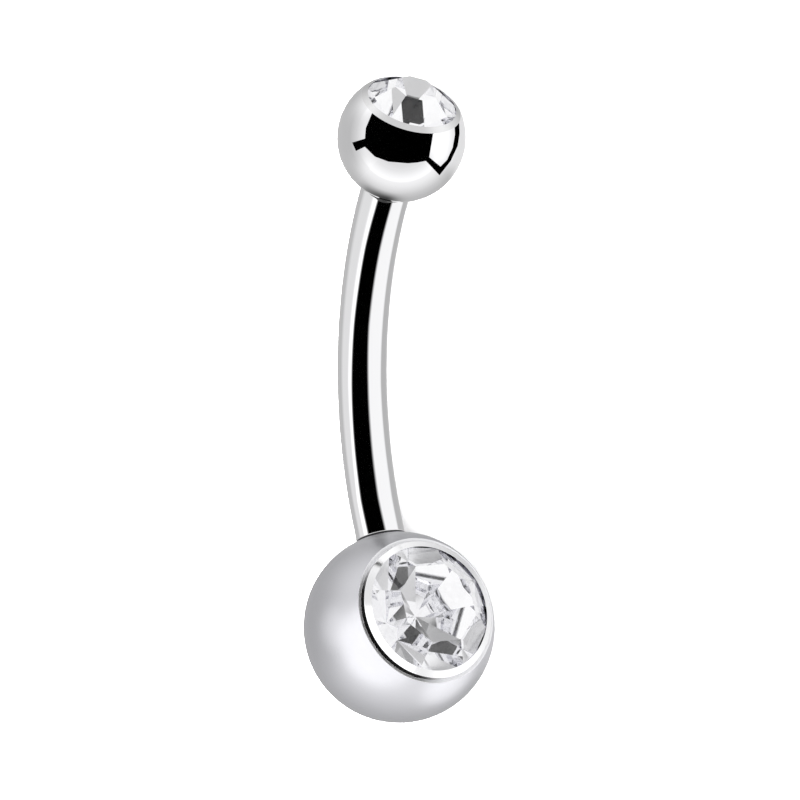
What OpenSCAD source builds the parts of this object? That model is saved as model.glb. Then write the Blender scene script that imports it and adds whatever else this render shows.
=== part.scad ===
// Curved navel ring: a bent bar, a jewelled ball pressed on its lower end and a
// smaller jewelled ball that screws on its top end. Millimetres, +Z up.
// It lies on a flat surface as it rests by itself, on both balls and on the bar's
// bow, with its length along Y and the top ball towards +Y. The origin is on that
// surface, in the middle of the ring's length, below the lower ball's centre line.

/* [Bar] */
// Diameter of the bar
bar_d = 1.56; // [1:0.01:2]
// Straight distance between the bar's two shoulders
bar_reach = 11.1; // [9:0.1:14]
// Radius of the curve, at the middle of the bar's thickness
curve_r = 11.6; // [9:0.1:20]
// Straight stretch of bar next to the lower ball
low_straight = 0.65; // [0.2:0.05:1.5]
// Chamfer round the bar's lower shoulder and the ends of its posts
bar_chamfer = 0.04; // [0.02:0.01:0.1]
// Diameter of the post that is pressed into the lower ball
post_d = 1.1; // [0.8:0.05:1.3]
// Length of the post that is pressed into the lower ball
post_len = 1.6; // [0.8:0.05:1.8]
// Diameter of the end that the top ball screws on
thread_d = 1.2; // [0.8:0.05:1.3]
// Length of the end that the top ball screws on
thread_len = 1.2; // [0.6:0.05:1.3]

/* [Lower ball] */
// Diameter of the lower ball
low_ball_d = 6; // [5.5:0.1:8]
// Width of the lip that holds the lower stone
low_lip_w = 0.21; // [0.12:0.01:0.3]
// Slope of that lip towards the stone, in degrees
low_lip_slope = 29; // [15:1:40]
// Width of the turned line round that lip
line_w = 0.06; // [0.03:0.01:0.12]
// Depth of the turned line, along the stone's axis
line_depth = 0.2; // [0.05:0.01:0.25]

/* [Top ball] */
// Diameter of the top ball
top_ball_d = 4; // [3.8:0.1:5.5]
// Width of the lip that holds the top stone
top_lip_w = 0.15; // [0.08:0.01:0.2]
// Slope of that lip towards the stone, in degrees
top_lip_slope = 38; // [25:1:45]

/* [Stones] */
// Diameter of the lower stone
low_stone_d = 4.2; // [3.6:0.05:4.3]
// Turn of the lower stone about its own axis, in degrees
low_stone_turn = 23.5; // [0:0.5:45]
// Width of the lower stone's table across its corners, as a share of the stone
low_table_share = 0.63; // [0.5:0.01:0.7]
// Angle of the lower stone's crown facets, in degrees
low_crown_angle = 45; // [30:0.5:46]
// Angle of the lower stone's pavilion facets, in degrees
low_pavilion_angle = 41.7; // [38:0.1:44]
// Diameter of the top stone
top_stone_d = 3; // [2.4:0.05:3.1]
// Turn of the top stone about its own axis, in degrees
top_stone_turn = 35.5; // [0:0.5:45]
// Width of the top stone's table across its corners, as a share of the stone
top_table_share = 0.46; // [0.4:0.01:0.7]
// Angle of the top stone's crown facets, in degrees
top_crown_angle = 39; // [30:0.5:46]
// Angle of the top stone's pavilion facets, in degrees
top_pavilion_angle = 36.5; // [34:0.5:42]
// Thickness of each stone's girdle where it is thinnest
girdle_t = 0.07; // [0.03:0.01:0.12]
// How far each lip covers the edge of its stone
lip_cover = 0.09; // [0.05:0.01:0.15]
// Thickness of each lip at its inner edge
lip_edge_t = 0.03; // [0.02:0.01:0.08]
// How far each lip's outer edge lies below the ball's own surface
lip_sink = 0.01; // [0.01:0.005:0.03]

/* [Fits] */
// Gap round a post in its bore, on the radius
post_gap = 0.03; // [0.02:0.01:0.05]
// Gap between a shoulder of the bar and the ball's seat
seat_gap = 0.03; // [0.02:0.01:0.06]
// Gap between a stone and its setting
stone_gap = 0.02; // [0.01:0.01:0.04]
// How far a ball's flat seat stands out round the bar, on the radius
seat_margin = 0.04; // [0.01:0.01:0.1]
// Room in a bore past the end of its post
bore_relief = 0.1; // [0.05:0.05:0.2]

/* [Hidden] */
$fn = 96;
overcut = 1;

bar_r = bar_d / 2;
low_r = low_ball_d / 2;
top_r = top_ball_d / 2;

// Distance from each ball's centre to its flat seat.
seat_r = bar_r + seat_margin;
low_seat = sqrt(low_r * low_r - seat_r * seat_r);
top_seat = sqrt(top_r * top_r - seat_r * seat_r);

// How far the bar turns: the chord between its shoulders, across the curve and
// the straight stretch below it, comes to the bar's reach.
chord_rest = (bar_reach * bar_reach - low_straight * low_straight) / (2 * curve_r) - curve_r;
turn = atan2(curve_r, low_straight) + asin(chord_rest / norm([curve_r, low_straight]));

// The ring in its own plane: the curve's centre at the origin, the curve's lower
// end on +X, the bar below it along -Y.
function along(a) = [cos(a), sin(a)];
low_centre = [curve_r, -(low_straight + seat_gap + low_seat)];
top_centre = curve_r * along(turn) + (seat_gap + top_seat) * along(turn + 90);

// How the ring rests. Both balls stand on the surface, so the line between their
// centres dips towards the smaller one, and the ring leans over until the bar's
// bow touches down too: the lowest point of the bar's circle comes to the height
// of the two balls' lowest points. That is a quadratic in the bow's steepness.
centre_line = top_centre - low_centre;
span = norm(centre_line);
up_line = centre_line / span;
bow_way = [up_line.y, -up_line.x];
dip = (top_r - low_r) / span;
level = sqrt(1 - dip * dip);
curve_up = -low_centre * up_line;
curve_in = low_centre * bow_way;
ball_over_bar = low_r - bar_r + dip * curve_up;
quad_a = curve_r * curve_r - curve_in * curve_in;
quad_b = ball_over_bar * curve_in;
quad_c = ball_over_bar * ball_over_bar - curve_r * curve_r * dip * dip;
steepness = (quad_b + sqrt(quad_b * quad_b + quad_a * quad_c)) / quad_a;
lean = steepness < level ? acos(steepness / level) : 0;
skew = 90 - atan2(up_line.y, up_line.x);
low_y = -(span * level + top_r - low_r) / 2;

// Everything below is drawn in the ring's plane and laid down by this module.
module at_rest()
    translate([0, low_y, low_r])
    rotate([asin(dip), 0, 0])
    rotate([0, lean + 90, 0])
    rotate([0, 0, skew])
    translate(-low_centre)
    children();

// Frames of the two balls. At the lower ball -X is the stone's axis and +Y points
// up the bar; at the top ball +Y is the stone's axis and -Y points down the bar.
module at_low_ball() translate(low_centre) children();
module at_top_ball() translate(top_centre) rotate(turn) children();
module against_x() rotate([0, -90, 0]) children();
module along_y() rotate([-90, 0, 0]) children();
module against_y() rotate([90, 0, 0]) children();

// Sizes of a round simple cut, with the foot of its crown facets at height 0. A
// cut is [table share, crown angle, pavilion angle]. Each facet touches the round
// girdle at its middle, and meets the next one along a ridge that stands out from
// it, so the crown's ridges end above height 0 and the pavilion's below the girdle.
facet_step = 360 / 8;
half_step = facet_step / 2;
low_cut = [low_table_share, low_crown_angle, low_pavilion_angle];
top_cut = [top_table_share, top_crown_angle, top_pavilion_angle];
function table_r(r, cut) = r * cut[0];
function crown_h(r, cut) = (r - table_r(r, cut) * cos(half_step)) * tan(cut[1]);
function ridge_out(r) = r * (1 - cos(half_step));
function ridge_h(r, cut) = ridge_out(r) * tan(cut[1]);
function keel_h(r, cut) = ridge_out(r) * tan(cut[2]);
function point_z(r, cut) = -girdle_t - r * tan(cut[2]);

// How far the crown's ridges have risen where the lip's inner edge covers them.
function edge_rise(r, cut) = ridge_h(r, cut) + lip_cover * cos(half_step) * tan(cut[1]);

// Heights above a ball's centre, along the stone's axis.
function lip_inner(stone_r) = stone_r - lip_cover;
function lip_outer(stone_r, lip_w) = lip_inner(stone_r) + lip_w;
function on_ball(ball_r, r) = sqrt(ball_r * ball_r - r * r);
function lip_foot_h(ball_r, stone_r, lip_w) = on_ball(ball_r, lip_outer(stone_r, lip_w)) - lip_sink;
function lip_top_h(ball_r, stone_r, lip_w, slope) =
    lip_foot_h(ball_r, stone_r, lip_w) + lip_w * tan(slope);
function girdle_h(ball_r, stone_r, cut, lip_w, slope) =
    lip_top_h(ball_r, stone_r, lip_w, slope) - lip_edge_t - stone_gap - edge_rise(stone_r, cut);

low_stone_r = low_stone_d / 2;
top_stone_r = top_stone_d / 2;
low_girdle = girdle_h(low_r, low_stone_r, low_cut, low_lip_w, low_lip_slope);
top_girdle = girdle_h(top_r, top_stone_r, top_cut, top_lip_w, top_lip_slope);

// The sixteen corners of one edge of the girdle, where every other one is a
// ridge's end and stands at height z_ridge.
function girdle_ring(r, z, z_ridge, first_ridge) =
    [for (i = [0:15])
        [r * cos(half_step * i), r * sin(half_step * i), i % 2 == first_ridge ? z_ridge : z]];

// A round simple cut: a table, 8 crown facets and 16 girdle facets above, and 8
// pavilion facets below that meet in a point. The pavilion's ridges lie under the
// crown's (first_keel 0) or under the middles of its facets (first_keel 1).
module cut_stone(r, cut, first_keel) {
    points = concat(
        [for (i = [0:7])
            [table_r(r, cut) * cos(facet_step * i), table_r(r, cut) * sin(facet_step * i), crown_h(r, cut)]],
        girdle_ring(r, 0, ridge_h(r, cut), 0),
        girdle_ring(r, -girdle_t, -girdle_t - keel_h(r, cut), first_keel),
        [[0, 0, point_z(r, cut)]]
    );
    upper = 8;
    under = 24;
    tip = 40;
    table = [[for (i = [7:-1:0]) i]];
    crown = [for (i = [0:7])
        [i, (i + 1) % 8, upper + (2 * i + 2) % 16, upper + 2 * i + 1, upper + 2 * i]];
    girdle = [for (j = [0:15])
        [upper + j, upper + (j + 1) % 16, under + (j + 1) % 16, under + j]];
    pavilion = [for (i = [0:7])
        [for (j = [0:2]) under + (2 * i + first_keel + j) % 16, tip]];
    polyhedron(points, concat(table, crown, girdle, pavilion));
}

// What is turned out of a ball for its stone: the setting's hollow, the face of
// the lip and all above it. Where the ball has a line round its lip, the cut goes
// down the lip's outside and comes up through the ball's surface again; where it
// has none, it runs on outwards at the lip's own slope. The ball's centre is at 0.
module setting_cut(ball_r, stone_r, cut, lip_w, slope, line_w = 0) {
    foot = lip_foot_h(ball_r, stone_r, lip_w);
    top = lip_top_h(ball_r, stone_r, lip_w, slope);
    middle = girdle_h(ball_r, stone_r, cut, lip_w, slope);
    inner = lip_inner(stone_r);
    outer = lip_outer(stone_r, lip_w);
    wall = stone_r + stone_gap;
    high = ball_r + overcut;
    bottom = foot - line_depth;
    out = line_w > 0 ? 2 * line_w : overcut;
    lip_out = line_w > 0
        ? [[outer, foot], [outer, bottom], [outer + out, 2 * on_ball(ball_r, outer + line_w) - bottom]]
        : [[outer + out, foot - out * tan(slope)]];
    rotate_extrude()
    polygon(concat(
        [
            [0, middle + point_z(stone_r, cut) - stone_gap / cos(cut[2])],
            [wall, middle - girdle_t - keel_h(stone_r, cut) - stone_gap],
            [wall, middle + ridge_h(stone_r, cut) + stone_gap],
            [inner, top - lip_edge_t],
            [inner, top]
        ],
        lip_out,
        [[outer + out, high], [0, high]]
    ));
}

// A bore for a post, with the flat seat at its mouth, along +Z from the centre.
module bore_cut(ball_r, seat, post_d, post_len) {
    depth = post_len + bore_relief;
    translate([0, 0, seat - depth])
    cylinder(d = post_d + 2 * post_gap, h = depth + overcut);
    translate([0, 0, seat])
    cylinder(r = ball_r, h = overcut);
}

// A post along +Z with a chamfered end. Its shoulder is at height 0, and its
// root reaches down into the bar by its own diameter.
module post(d, length)
    rotate_extrude()
    polygon([
        [0, -d],
        [d / 2, -d],
        [d / 2, length - bar_chamfer],
        [d / 2 - bar_chamfer, length],
        [0, length]
    ]);

// The straight stretch of bar along +Z, up to its chamfered shoulder at height 0.
module shank()
    rotate_extrude()
    polygon([
        [0, -low_straight],
        [bar_r, -low_straight],
        [bar_r, -bar_chamfer],
        [bar_r - bar_chamfer, 0],
        [0, 0]
    ]);

// The bent rod with a post on each end.
module bar() color([0.78, 0.79, 0.8]) at_rest() {
    rotate_extrude(angle = turn)
    translate([curve_r, 0])
    circle(d = bar_d);
    translate([curve_r, -low_straight, 0]) against_y() {
        shank();
        post(post_d, post_len + seat_gap);
    }
    rotate(turn) translate([curve_r, 0, 0]) along_y() post(thread_d, thread_len + seat_gap);
}

// The larger ball, with its stone square to the bar and on the inside of the curve.
module lower_ball() color([0.72, 0.72, 0.75]) at_rest() at_low_ball()
    difference() {
        sphere(r = low_r);
        against_x() setting_cut(low_r, low_stone_r, low_cut, low_lip_w, low_lip_slope, line_w);
        along_y() bore_cut(low_r, low_seat, post_d, post_len);
    }

// The smaller ball, with its stone in line with the bar.
module top_ball() color([0.8, 0.8, 0.81]) at_rest() at_top_ball()
    difference() {
        sphere(r = top_r);
        along_y() setting_cut(top_r, top_stone_r, top_cut, top_lip_w, top_lip_slope);
        against_y() bore_cut(top_r, top_seat, thread_d, thread_len);
    }

module lower_stone() color([0.93, 0.95, 0.97, 0.6]) at_rest() at_low_ball()
    against_x() translate([0, 0, low_girdle]) rotate(low_stone_turn) cut_stone(low_stone_r, low_cut, 1);

module top_stone() color([0.93, 0.95, 0.97, 0.6]) at_rest() at_top_ball()
    along_y() translate([0, 0, top_girdle]) rotate(top_stone_turn) cut_stone(top_stone_r, top_cut, 0);

bar();
lower_ball();
lower_stone();
top_ball();
top_stone();
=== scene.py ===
"""Dresses the curved navel ring: polished steel, turned lips and cut stones.

The ring's shapes are all made of circles, so one kind of surface makes them: a
stack of circles, each with a centre, two directions and a radius. The bar is a
stack carried along its curve, and a ball is one turned about its own axis. The
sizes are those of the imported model, in millimetres, and every mesh is put down
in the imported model's frame, in metres.
"""

import logging
import math
from dataclasses import dataclass, field, replace
from enum import Enum

import bpy
import numpy as np
from mathutils import Matrix, Vector


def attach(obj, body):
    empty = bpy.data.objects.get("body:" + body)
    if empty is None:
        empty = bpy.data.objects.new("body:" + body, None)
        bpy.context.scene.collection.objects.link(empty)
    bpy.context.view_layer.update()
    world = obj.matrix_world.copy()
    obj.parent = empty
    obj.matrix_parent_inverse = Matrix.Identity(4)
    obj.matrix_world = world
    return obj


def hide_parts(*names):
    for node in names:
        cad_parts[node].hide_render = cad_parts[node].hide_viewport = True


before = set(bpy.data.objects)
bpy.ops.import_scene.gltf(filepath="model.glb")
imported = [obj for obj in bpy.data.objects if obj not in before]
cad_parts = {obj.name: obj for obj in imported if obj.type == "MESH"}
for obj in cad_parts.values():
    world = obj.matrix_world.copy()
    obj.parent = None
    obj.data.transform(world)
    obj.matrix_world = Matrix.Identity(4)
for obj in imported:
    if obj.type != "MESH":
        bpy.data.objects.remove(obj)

LOG = logging.getLogger("navel_ring")
MM = 0.001
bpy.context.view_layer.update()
# The most of a stretch that the rounding of a corner takes, and how far beyond the
# rounding the point that keeps it crisp lies, as a share of it.
EASE_SHARE = 0.36
HOLD_SHARE = 0.3
# The haze's noise, and its values at the least and the greatest roughness.
HAZE_DETAIL = 4.0
HAZE_RANGE = (0.35, 0.65)
# Light bounces this often at most; the cut stones need many.
LIGHT_BOUNCES = 24
# Where the painted shade on the line round the larger stone's lip is darkest, in degrees round it.
DARKEST_SIDE = 205


def rise(angle: float) -> float:
    """Rise over run of a slope whose angle is in degrees."""
    return math.tan(math.radians(angle))


def unit(ways: np.ndarray) -> np.ndarray:
    """Directions scaled to a length of 1."""
    return ways / np.linalg.norm(ways, axis=-1, keepdims=True)


def heading(side: object, tilt: object) -> np.ndarray:
    """Directions at a tilt off the third axis towards a side round it, in degrees."""
    a, t = np.radians(side), np.radians(tilt)
    return np.stack([np.sin(t) * np.cos(a), np.sin(t) * np.sin(a), np.cos(t) + 0 * a], axis=-1)


def mirrored(normal: np.ndarray, view: np.ndarray) -> np.ndarray:
    """Which way a mirror sends the view: 2 (n . v) n - v."""
    return 2 * (normal * view).sum(-1, keepdims=True) * normal - view


def along_bend(angle: object) -> tuple[np.ndarray, np.ndarray]:
    """The directions out of the bar's curve and onward along it, at angles of its bend."""
    cos, sin, nothing = np.cos(angle), np.sin(angle), np.zeros_like(angle, float)
    return np.stack([cos, sin, nothing], axis=-1), np.stack([-sin, cos, nothing], axis=-1)


def filled_in(values: np.ndarray, axis: int, steps: int) -> np.ndarray:
    """Divides each stretch between neighbours along an axis into equal steps.

    Args:
        values: The points or numbers.
        axis: The axis along which they are neighbours.
        steps: How many steps each stretch gets.

    Returns:
        The finer array.
    """
    count = values.shape[axis] - 1
    at = np.linspace(0, count, count * steps + 1)
    low = np.clip(np.floor(at).astype(int), 0, count - 1)
    share = (at - low).reshape([-1 if k == axis else 1 for k in range(values.ndim)])
    return np.take(values, low, axis) * (1 - share) + np.take(values, low + 1, axis) * share


def add_object(name: str, data: object) -> bpy.types.Object:
    """Links a new object to the scene.

    Args:
        name: Its name.
        data: Its mesh, light or camera.

    Returns:
        The object.
    """
    thing = bpy.data.objects.new(name, data)
    bpy.context.scene.collection.objects.link(thing)
    return thing


def add_mesh(
    name: str, points: np.ndarray, faces: list, looks: list, index: object = 0, smooth: bool = True
) -> bpy.types.Object:
    """Adds a mesh object with its place in its mesh.

    Args:
        name: The object's name.
        points: Its points in millimetres.
        faces: Its faces, as lists of points.
        looks: Its materials.
        index: Which of them each face has.
        smooth: Whether the faces shade as one surface.

    Returns:
        The object.
    """
    mesh = bpy.data.meshes.new(name)
    mesh.from_pydata(points * MM, [], faces)
    for material in looks:
        mesh.materials.append(material)
    index = np.ascontiguousarray(np.broadcast_to(index, len(faces)), np.int32)
    mesh.polygons.foreach_set("material_index", index)
    mesh.polygons.foreach_set("use_smooth", np.full(len(faces), smooth))
    mesh.update()
    return add_object(name, mesh)


class Zone(Enum):
    """The finishes that a turned or bent piece can have along its length."""

    SKIN = 0
    LIP = 1
    LINE = 2
    SETTING = 3
    SEAT = 4
    FOOT = 5


@dataclass(frozen=True)
class Circles:
    """A surface made of circles, one row for each.

    Point = centre + radius * (cos(angle) * first + sin(angle) * second), where
    the angle runs once round in equal steps.
    """

    centre: np.ndarray
    first: np.ndarray
    second: np.ndarray
    radius: np.ndarray
    zones: tuple

    def grid(self, columns: int) -> np.ndarray:
        """Works out the points.

        Args:
            columns: How many points each circle has.

        Returns:
            An array of rows x columns x 3.
        """
        angle = np.linspace(0, 2 * np.pi, columns, endpoint=False)[None, :, None]
        radius = self.radius if self.radius.ndim == 2 else self.radius[:, None]
        turned = np.cos(angle) * self.first[:, None] + np.sin(angle) * self.second[:, None]
        return self.centre[:, None] + radius[:, :, None] * turned

    def after(self, other: "Circles") -> "Circles":
        """Puts this stack after another, whose last row is left out as the same circle."""
        pairs = zip(*[(c.centre, c.first, c.second, c.radius) for c in (other, self)])
        return Circles(*[np.concatenate([a[:-1], b]) for a, b in pairs], other.zones + self.zones)


@dataclass
class Profile:
    """A line of (radius, height) points in runs, where two runs meet in a corner."""

    runs: list = field(default_factory=list)

    def run(self, zone: Zone, *points: tuple) -> "Profile":
        """Adds a run that starts at the last point.

        Args:
            zone: The run's finish.
            points: Its points after the first, or all of them in the first run.

        Returns:
            The profile itself.
        """
        start = [self.runs[-1][1][-1]] if self.runs else []
        self.runs.append((zone, np.array(start + [tuple(p) for p in points], float)))
        return self

    def eased(self, ease: float, steps: int = 4) -> tuple[np.ndarray, tuple]:
        """Rounds each corner with a short quadratic arc.

        The arc from A, e before the corner P, to B, e after it, is (1-t)^2 A +
        2t(1-t) P + t^2 B, and a point beyond each of its ends keeps the shading crisp.

        Args:
            ease: How far from the corner the arc starts.
            steps: How many pieces each arc has.

        Returns:
            The points, and the zone of each stretch between two of them.
        """
        points, zones = [self.runs[0][1][0]], []
        for index, (zone, line) in enumerate(self.runs):
            zones += [zone] * (len(line) - 1)
            points += list(line[1:-1])
            if index + 1 == len(self.runs):
                points.append(line[-1])
                break
            following, onward = self.runs[index + 1]
            corner = line[-1]
            back, ahead = line[-2] - corner, onward[1] - corner
            reach_back, reach_ahead = np.linalg.norm(back), np.linalg.norm(ahead)
            cut = min(ease, EASE_SHARE * reach_back, EASE_SHARE * reach_ahead)
            a, b = corner + back / reach_back * cut, corner + ahead / reach_ahead * cut
            t = np.linspace(0, 1, steps + 1)[:, None]
            arc = (1 - t) ** 2 * a + 2 * t * (1 - t) * corner + t**2 * b
            hold = HOLD_SHARE * cut
            points += [a + back / reach_back * hold, *arc, b + ahead / reach_ahead * hold]
            zones += [zone] * (1 + steps // 2) + [following] * (steps - steps // 2 + 1)
        return np.array(points), tuple(zones)


def arc(radius: float, start: float, end: float, step: float) -> list[tuple]:
    """Points on a ball's outline, without the first.

    Point = (radius * sin(angle), radius * cos(angle)), angles from the ball's axis.

    Args:
        radius: The ball's radius.
        start: Angle of the point that is left out.
        end: Angle of the last point.
        step: The largest angle between two points.

    Returns:
        The (radius, height) points.
    """
    count = max(2, math.ceil(abs(end - start) / step))
    angle = np.linspace(start, end, count + 1)[1:]
    return list(zip(radius * np.sin(angle), radius * np.cos(angle)))


@dataclass(frozen=True)
class Frame3:
    """A place with three square directions: the axis, and two across it."""

    origin: np.ndarray
    axis: np.ndarray
    first: np.ndarray
    second: np.ndarray

    def turned(self, profile: Profile, ease: float) -> Circles:
        """Turns a profile about the axis: (r, h) becomes a circle of radius r at height h.

        Args:
            profile: The profile.
            ease: How far from a corner its rounding starts.

        Returns:
            The stack of circles.
        """
        points, zones = profile.eased(ease)
        rows = len(points)
        return Circles(
            self.origin + points[:, 1:] * self.axis,
            np.tile(self.first, (rows, 1)),
            np.tile(self.second, (rows, 1)),
            points[:, 0],
            zones,
        )

    def placed(self, points: np.ndarray) -> np.ndarray:
        """Puts points given along first, second and the axis where the frame lies."""
        return self.origin + points @ np.array([self.first, self.second, self.axis])


def between_two_circles(
    origin: np.ndarray,
    radius: float,
    start: tuple[np.ndarray, float],
    end: tuple[np.ndarray, float],
    second: np.ndarray,
    step: float,
) -> Circles:
    """Covers a ball between two circles whose axes are square to each other.

    A circle is the ball's cut by the plane axis . x = height. The planes between
    the two are (cos(f) * a - sin(f) * b) . x = cos(f) * p - sin(f) * q, from f = 0
    at the first circle to f = 90 degrees at the second, and never cross on the
    ball's skin. The rows are spaced evenly along the ball's far side, where f is
    atan2(p - a . x, q - b . x).

    Args:
        origin: The ball's centre.
        radius: Its radius.
        start: The first circle's axis and height.
        end: The second circle's axis and height.
        second: The direction square to both axes.
        step: The largest angle between rows.

    Returns:
        The stack of circles, from the first circle to the second.
    """
    (a, p), (b, q) = start, end
    first_angle, last_angle = -math.acos(p / radius), -(1.5 * math.pi - math.acos(q / radius))
    rows = math.ceil((first_angle - last_angle) / step) + 1
    far = np.linspace(first_angle, last_angle, rows)
    turn = np.arctan2(p - radius * np.cos(far), q - radius * np.sin(far))
    cos, sin = np.cos(turn)[:, None], np.sin(turn)[:, None]
    height = cos * p - sin * q
    return Circles(
        origin + height * (cos * a - sin * b),
        sin * a + cos * b,
        np.tile(second, (rows, 1)),
        np.sqrt(np.maximum(radius**2 - height[:, 0] ** 2, 0)),
        (Zone.SKIN,) * (rows - 1),
    )


def make_mesh(name: str, circles: Circles, columns: int, finishes: dict) -> bpy.types.Object:
    """Makes a closed, smooth mesh of a stack whose two ends come to a point.

    Args:
        name: The object's name.
        circles: The stack, in millimetres.
        columns: How many points each circle has.
        finishes: The material of each zone that the stack has.

    Returns:
        The object, linked to the scene, with its place in its mesh.
    """
    grid = circles.grid(columns)
    rows = len(grid)
    middle = grid[1:-1].reshape(-1, 3)
    points = np.vstack([middle, grid[0].mean(axis=0), grid[-1].mean(axis=0)])
    low, high = len(middle), len(middle) + 1

    here = np.arange(columns)
    there = (here + 1) % columns
    base = (np.arange(rows - 3) * columns)[:, None]
    quads = [base + here, base + there, base + columns + there, base + columns + here]
    quads = np.stack(quads, axis=-1).reshape(-1, 4)
    last = (rows - 3) * columns
    start_fan = np.stack([np.full(columns, low), there, here], axis=-1)
    end_fan = np.stack([last + here, last + there, np.full(columns, high)], axis=-1)

    corners = points[quads]
    area = np.cross(corners[:, 2] - corners[:, 0], corners[:, 3] - corners[:, 1])
    volume = np.einsum("ij,ij->", corners.mean(axis=1) - points.mean(axis=0), area)
    order = slice(None) if volume > 0 else slice(None, None, -1)
    faces = [face for part in (start_fan, quads, end_fan) for face in part[:, order].tolist()]

    zones = [zone for zone in Zone if zone in circles.zones]
    by_row = np.array([zones.index(zone) for zone in circles.zones])
    looks = [finishes[zone] for zone in zones]
    piece = add_mesh(name, points, faces, looks, np.repeat(by_row, columns))
    piece.data.validate()
    return piece


@dataclass(frozen=True)
class RingSizes:
    """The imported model's sizes in millimetres, and where its pieces lie at rest.

    The thread starts to fade in past the shoulder, and has faded out before the
    post's end, at the first number of thread_start and thread_stop, over the second.
    """

    bar_d: float = 1.56
    bar_reach: float = 11.1
    curve_r: float = 11.6
    low_straight: float = 0.65
    bar_chamfer: float = 0.04
    post_d: float = 1.1
    post_len: float = 1.6
    thread_d: float = 1.2
    thread_len: float = 1.2
    low_ball_d: float = 6.0
    top_ball_d: float = 4.0
    post_gap: float = 0.03
    seat_gap: float = 0.03
    seat_margin: float = 0.04
    bore_relief: float = 0.1
    thread_pitch: float = 0.25
    thread_depth: float = 0.13
    thread_chamfer: float = 0.06
    thread_start: tuple = (0.08, 0.15)
    thread_stop: tuple = (0.02, 0.1)

    def seat(self, ball_d: float) -> float:
        """Distance from a ball's centre to the flat seat round the bar."""
        seat_r = self.bar_d / 2 + self.seat_margin
        return math.sqrt((ball_d / 2) ** 2 - seat_r**2)

    def turn(self) -> float:
        """How far the bar turns, from the straight distance between its shoulders."""
        chord = (self.bar_reach**2 - self.low_straight**2) / (2 * self.curve_r) - self.curve_r
        return math.atan2(self.curve_r, self.low_straight) + math.asin(
            chord / math.hypot(self.curve_r, self.low_straight)
        )

    def low_centre(self) -> np.ndarray:
        """The lower ball's centre in the plane of the bar's curve."""
        below = self.low_straight + self.seat_gap + self.seat(self.low_ball_d)
        return np.array([self.curve_r, -below, 0])

    def top_centre(self) -> np.ndarray:
        """The top ball's centre in the plane of the bar's curve."""
        out, onward = along_bend(self.turn())
        return self.curve_r * out + (self.seat_gap + self.seat(self.top_ball_d)) * onward

    def beside_low_stone(self, height: float, radius: float, side: float) -> np.ndarray:
        """A point off the larger stone's axis, its side in degrees from across the bar."""
        a = math.radians(side)
        return self.low_centre() + np.array([-height, radius * math.sin(a), radius * math.cos(a)])

    def joints(self) -> tuple[np.ndarray, np.ndarray]:
        """Where the bar's two shoulders meet the balls, on its middle line."""
        low = np.array([self.curve_r, -self.low_straight, 0])
        return low, self.curve_r * along_bend(self.turn())[0]

    def at_rest(self) -> tuple[np.ndarray, np.ndarray]:
        """How the plane of the curve lies when the ring rests on both balls and the bow.

        The line between the balls' centres dips by the difference of their radii,
        and the ring leans until the bow's lowest point is as low as theirs, which
        is a quadratic in the steepness of the bow.

        Returns:
            The 3 x 3 turn and the 3 places to add, both in millimetres.
        """
        low, top = self.low_centre(), self.top_centre()
        low_r, top_r, bar_r = self.low_ball_d / 2, self.top_ball_d / 2, self.bar_d / 2
        line = (top - low)[:2]
        span = np.linalg.norm(line)
        up = line / span
        bow = np.array([up[1], -up[0]])
        dip = (top_r - low_r) / span
        level = math.sqrt(1 - dip * dip)
        curve_up, curve_in = -low[:2] @ up, low[:2] @ bow
        over = low_r - bar_r + dip * curve_up
        a = self.curve_r**2 - curve_in**2
        b = over * curve_in
        c = over**2 - self.curve_r**2 * dip**2
        lean = math.acos((b + math.sqrt(b * b + a * c)) / a / level)
        skew = math.pi / 2 - math.atan2(up[1], up[0])
        turn = turned_about("X", math.asin(dip)) @ turned_about("Y", lean + math.pi / 2)
        turn = turn @ turned_about("Z", skew)
        low_y = -(span * level + top_r - low_r) / 2
        return turn, np.array([0, low_y, low_r]) - turn @ low


def turned_about(name: str, angle: float) -> np.ndarray:
    """The 3 x 3 turn by an angle about the X, Y or Z axis."""
    c, s = math.cos(angle), math.sin(angle)
    return {
        "X": np.array([[1, 0, 0], [0, c, -s], [0, s, c]]),
        "Y": np.array([[c, 0, s], [0, 1, 0], [-s, 0, c]]),
        "Z": np.array([[c, -s, 0], [s, c, 0], [0, 0, 1]]),
    }[name]


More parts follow.
